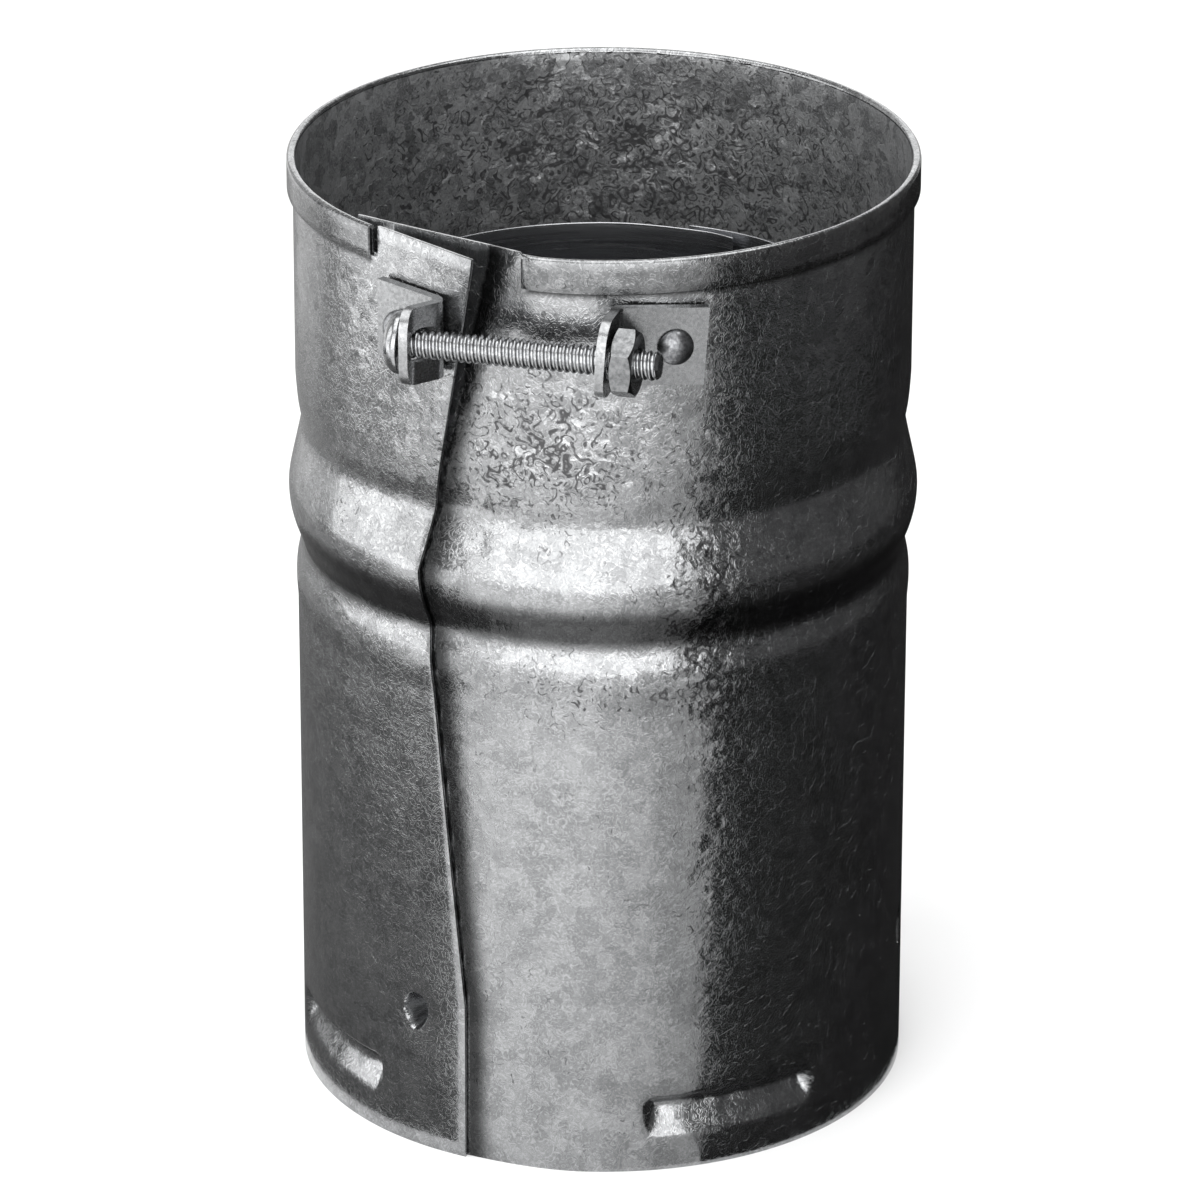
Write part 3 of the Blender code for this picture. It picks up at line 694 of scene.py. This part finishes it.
def spun(profile, steps, material, name, place):
    # profile: (distance along the axis, radius), turned about local X, then put at its place
    bm = bmesh.new()
    verts = [bm.verts.new((x, 0.0, r)) for x, r in profile]
    edges = [bm.edges.new(pair) for pair in zip(verts, verts[1:])]
    bmesh.ops.spin(bm, geom=verts + edges, cent=(0, 0, 0), axis=(1, 0, 0), dvec=(0, 0, 0),
                   angle=math.tau, steps=steps, use_merge=True)
    bmesh.ops.remove_doubles(bm, verts=bm.verts, dist=1e-6)
    bmesh.ops.recalc_face_normals(bm, faces=bm.faces)
    bmesh.ops.transform(bm, matrix=place, verts=bm.verts)
    return makeObject(name, bm, material, 30)


def dome(seat, apex, radius, samples):
    points = []
    for i in range(samples + 1):
        turn = math.pi / 2 * i / samples
        points.append((seat + (apex - seat) * math.cos(turn), radius * math.sin(turn)))
    return points


def makeScrew():
    axis = Matrix.Translation((0, screw["y"], screw["z"]))
    seat, apex = screw["headSeat"], screw["headSeat"] - screw["headRise"]
    profile = dome(seat - screw["headSide"], apex, screw["headRadius"], 14)
    profile += [(seat - screw["headChamfer"], screw["headRadius"]),
                (seat, screw["headRadius"] - screw["headChamfer"]), (seat, 0.0)]
    head = spun(profile, 64, screwMetal, "screwHead", axis)
    slotBm = bmesh.new()
    size = (screw["slotDepth"] * 2, screw["headRadius"] * 3, screw["slotWidth"])
    bmesh.ops.create_cube(slotBm, size=1.0, matrix=Matrix.Translation((apex, screw["y"], screw["z"]))
                          @ Matrix.Diagonal((*size, 1.0)))
    cutter = makeObject("slotCutter", slotBm, None)
    addModifier(head, "BOOLEAN", operation="DIFFERENCE", solver="EXACT", object=cutter)
    applyModifiers(head, 30)
    bpy.data.objects.remove(cutter)
    addModifier(head, "BEVEL", width=screw["edgeBreak"], segments=2, limit_method="ANGLE",
                angle_limit=math.radians(45))

    # thread: one ridge's profile wound along the axis, its ends meeting turn by turn
    pitch, steps = screw["pitch"], screw["stepsPerTurn"]
    start = seat - pitch * 0.5
    turns = math.ceil((screw["tip"] - start) / pitch) + 1
    bm = bmesh.new()
    high = screw["radius"] - screw["root"]
    ridge = ((0.0, 0.0), (0.12, 0.10), (0.25, 0.55), (0.38, 0.92), (0.5, 1.0), (0.62, 0.92),
             (0.75, 0.55), (0.88, 0.10), (1.0, 0.0))
    verts = [bm.verts.new((start - pitch + part * pitch, 0.0, screw["root"] + rise * high))
             for part, rise in ridge]
    edges = [bm.edges.new(pair) for pair in zip(verts, verts[1:])]
    bmesh.ops.spin(bm, geom=verts + edges, cent=(0, 0, 0), axis=(1, 0, 0),
                   dvec=(pitch / steps, 0, 0), angle=math.tau * turns, steps=steps * turns)
    bmesh.ops.remove_doubles(bm, verts=bm.verts, dist=2e-6)
    for x, clearOuter in ((screw["tip"], True), (seat - screw["threadStart"], False)):
        geom = bm.verts[:] + bm.edges[:] + bm.faces[:]
        cut = bmesh.ops.bisect_plane(bm, geom=geom, plane_co=(x, 0, 0), plane_no=(1, 0, 0),
                                     clear_outer=clearOuter, clear_inner=not clearOuter)
        rim = [e for e in cut["geom_cut"] if isinstance(e, bmesh.types.BMEdge)]
        bmesh.ops.edgenet_fill(bm, edges=rim)
    for vert in bm.verts:  # the tip, turned down to a short cone
        reach = screw["root"] - screw["tipDrop"] + max(screw["tip"] - vert.co.x, 0.0) * screw["tipSlope"]
        radius = math.hypot(vert.co.y, vert.co.z)
        if radius > reach:
            vert.co.yz = vert.co.yz * (reach / radius)
    bmesh.ops.recalc_face_normals(bm, faces=bm.faces)
    bmesh.ops.transform(bm, matrix=axis, verts=bm.verts)
    thread = makeObject("screwThread", bm, screwMetal, 32)
    for obj in (head, thread):
        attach(obj, "screw")
    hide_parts("clamp_screw")
    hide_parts("clamp_screw")


nut = {"flats": 0.00873, "chamfer": 0.00062, "chamferAngle": 28, "edgeBreak": 0.0001,
       "bore": 0.00205, "countersink": 0.0004, "cutterReach": 0.001}


def makeNut():
    low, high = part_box("clamp_nut")
    left, right = low.x, high.x
    corner = nut["flats"] / math.sqrt(3)
    place = Matrix.Translation(((left + right) / 2, screw["y"], screw["z"]))
    bm = bmesh.new()
    turned = place @ Matrix.Rotation(math.pi / 2, 4, "Y")
    bmesh.ops.create_cone(bm, cap_ends=True, segments=6, radius1=corner, radius2=corner,
                          depth=right - left)
    bmesh.ops.rotate(bm, verts=bm.verts, matrix=Matrix.Rotation(math.radians(30), 3, "Z"))
    bmesh.ops.transform(bm, matrix=turned, verts=bm.verts)
    obj = makeObject("hexNut", bm, nutMetal, 25)
    half = (right - left) / 2
    wide, face = corner + 0.0004, nut["flats"] / 2 - nut["chamfer"] / 4
    slope = (wide - face) * math.tan(math.radians(nut["chamferAngle"]))
    barrel = spun([(-half - 1e-5, 0.0), (-half - 1e-5, face), (-half + slope, wide),
                   (half - slope, wide), (half + 1e-5, face), (half + 1e-5, 0.0)],
                  96, None, "nutBarrel", place)
    inner, sunk = nut["bore"], half - nut["countersink"]
    past = half + nut["cutterReach"]
    mouth = inner + nut["countersink"] + nut["cutterReach"]
    bore = spun([(-past, 0.0), (-past, mouth), (-sunk, inner), (sunk, inner), (past, mouth), (past, 0.0)],
                48, None, "nutBore", place)
    addModifier(obj, "BOOLEAN", operation="INTERSECT", solver="EXACT", object=barrel)
    addModifier(obj, "BOOLEAN", operation="DIFFERENCE", solver="EXACT", object=bore)
    applyModifiers(obj, 25)
    bpy.data.objects.remove(barrel)
    bpy.data.objects.remove(bore)
    addModifier(obj, "BEVEL", width=nut["edgeBreak"], segments=2, limit_method="ANGLE",
                angle_limit=math.radians(25))
    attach(obj, "nut")
    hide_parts("clamp_nut")


rivet = {"headRadius": 0.00255, "headRise": 0.0014, "shank": 0.0016, "tailRadius": 0.0022,
         "tailRise": 0.0009, "edge": 0.0001, "tailDepth": 0.00002}


def makeRivet(node, name):
    # the solid rivet gives the axis, from the middle of its flat tail to the top of its head
    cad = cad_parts[node].data
    points = [v.co.copy() for v in cad.vertices]
    middle = sum(points, Vector()) / len(points)
    out = Vector((middle.x, middle.y, 0)).normalized()
    far = max(points, key=lambda p: p.dot(out))
    nearest = min(p.dot(out) for p in points)
    near = [p for p in points if p.dot(out) < nearest + rivet["tailDepth"]]
    tail = sum(near, Vector()) / len(near)
    axis = (far - tail).normalized()
    length = (far - tail).length
    turn = axis.to_track_quat("X", "Z").to_matrix().to_4x4()
    rim, shank, tailTop, edge = rivet["headRadius"], rivet["shank"], rivet["tailRise"], rivet["edge"]
    wide = rivet["tailRadius"]
    headFoot = length - rivet["headRise"]
    profile = dome(headFoot, length, rim, 12)
    profile += [(headFoot - 0.8 * edge, rim - 0.8 * edge), (headFoot - edge, shank), (tailTop, shank),
                (tailTop, wide - edge), (tailTop - edge, wide), (edge, wide), (0.0, wide - edge),
                (0.0, 0.0)]
    obj = spun(profile, 48, rivetMetal, name, Matrix.Translation(tail) @ turn)
    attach(obj, "shell")
    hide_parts(node)


makeScrew()
makeNut()
makeRivet("nut_bracket_rivet", "nutTabRivet")
makeRivet("screw_bracket_rivet", "screwTabRivet")
print("clamp hardware ready")


# floor, light and camera
studio = {
    "viewAngle": 13.98,  # degrees from -Y to the camera
    "floorRadius": 4.0,
    "paper": "#f3f3f3",
    "world": 0.32,
    # lamps: side and front from the axis as the camera sees it, foot height, width, height, radiance
    "lamps": {
        "keySoftbox": (-0.10, 0.60, 0.0, 1.00, 0.80, 3.0),
        "leftSoftbox": (-0.30, 0.03, 0.02, 0.24, 0.36, 2.1),
        "backLeftSoftbox": (-0.22, -0.22, 0.0, 0.18, 0.36, 0.5),
        "backSoftbox": (0.0, -1.0, 0.2, 1.0, 0.5, 1.6),
    },
    "top": (1.5, 1.6, 2.7),  # height, side length, radiance
    # cards just above the floor where the wall mirrors it: first and last angle from the view,
    # near and far distance, colour
    "floorCards": {
        "rightCard": (18.9, 88.0, 0.0, 0.60, "#161616"),
        "duskCard": (9.5, 18.9, 0.0, 0.60, "#bcbcbc"),
        "dimCard": (0.0, 9.5, 0.0, 0.60, "#dadada"),
        "leftCard": (-88.0, -28.0, 0.003, 0.180, "#5e5e5e"),
        "farLeftCard": (-88.0, -42.0, 0.181, 0.45, "#8c8c8c"),
    },
    "cardLift": 0.0002, "cardGap": 0.0003,  # off the floor and off the wall
    "sideCard": (0.34, (-0.5, 0.5), (0.001, 0.7), "#505050"),  # side, from back to front, heights, colour
    # the camera's place and its right, up and forward directions, fitted to both rims and the foot
    "lens": 228.774,
    "cameraPlace": (0.247595, -0.994752, 0.510763),
    "cameraRight": (0.9700960, 0.2427141, 0.0019040),
    "cameraUp": (-0.0974051, 0.3821064, 0.9189706),
    "cameraForward": (-0.2223196, 0.8916752, -0.3943214),
}


def fromView(side, front, height):
    turn = math.radians(studio["viewAngle"])
    return Vector((side * math.cos(turn) + front * math.sin(turn),
                   side * math.sin(turn) - front * math.cos(turn), height))


def plainMaterial(name, colour):
    material, shader = newMaterial(name)
    shader.inputs["Base Color"].default_value = linear(colour)
    shader.inputs["Roughness"].default_value = 0.9
    shader.inputs["Specular IOR Level"].default_value = 0.1
    return material


def makeFloor():
    bm = bmesh.new()
    bmesh.ops.create_circle(bm, cap_ends=True, segments=96, radius=studio["floorRadius"])
    makeObject("studioFloor", bm, plainMaterial("studioPaper", studio["paper"]))


def makeCard(name, columns, rows, pointAt, colour):
    # a card that the camera doesn't see, only the metal's reflections
    bm = flatGrid(columns, rows)
    for vert in bm.verts:
        vert.co = fromView(*pointAt(vert.co.x, vert.co.y))
    obj = makeObject(name, bm, plainMaterial(name, colour))
    obj.visible_camera = False
    obj.visible_diffuse = False
    obj.visible_transmission = False
    obj.visible_shadow = False


def mirroredFloor(angle, distance):
    # the floor point that the wall at this angle from the view mirrors to the camera
    turn = math.radians(angle)
    foot = shell["radius"] + studio["cardGap"]
    return (foot * math.sin(turn) + distance * math.sin(2 * turn),
            foot * math.cos(turn) + distance * math.cos(2 * turn), studio["cardLift"])


def makeLamp(name, place, aim, size, radiance):
    light = bpy.data.lights.new(name, "AREA")
    light.shape = "RECTANGLE"
    light.size, light.size_y = size
    light.energy = radiance * math.pi * size[0] * size[1]
    lamp = bpy.data.objects.new(name, light)
    bpy.context.scene.collection.objects.link(lamp)
    lamp.location = place
    lamp.rotation_euler = (Vector(aim) - Vector(place)).to_track_quat("-Z", "Y").to_euler()
    lamp.visible_camera = False


def makeCamera():
    view = bpy.data.cameras.new("photoCamera")
    view.sensor_width = 36.0
    view.lens = studio["lens"]
    view.clip_start, view.clip_end = 0.05, 30.0
    camera = bpy.data.objects.new("photoCamera", view)
    bpy.context.scene.collection.objects.link(camera)
    right, up = Vector(studio["cameraRight"]), Vector(studio["cameraUp"])
    away = -Vector(studio["cameraForward"])
    turned = Matrix((right, up, away)).transposed().to_4x4()
    camera.matrix_world = Matrix.Translation(studio["cameraPlace"]) @ turned
    bpy.context.scene.camera = camera


def makeStudio():
    makeFloor()
    world = bpy.data.worlds.new("studioAir")
    world.use_nodes = True
    air = world.node_tree.nodes["Background"]
    air.inputs["Color"].default_value = (1, 1, 1, 1)
    air.inputs["Strength"].default_value = studio["world"]
    bpy.context.scene.world = world
    for name, (side, front, foot, width, height, radiance) in studio["lamps"].items():
        middle = foot + height / 2
        makeLamp(name, fromView(side, front, middle), (0, 0, middle), (width, height), radiance)
    height, length, radiance = studio["top"]
    makeLamp("topSoftbox", (0, 0, height), (0, 0, 0), (length, length), radiance)
    for name, (first, last, near, far, colour) in studio["floorCards"].items():
        columns = [first + (last - first) * i / 16 for i in range(17)]
        makeCard(name, columns, [near, far], mirroredFloor, colour)
    side, fronts, heights, colour = studio["sideCard"]
    makeCard("sideCard", fronts, heights, lambda front, height: (side, front, height), colour)
    makeCamera()


makeStudio()
bpy.context.scene.view_settings.view_transform = "Standard"
print("studio ready")
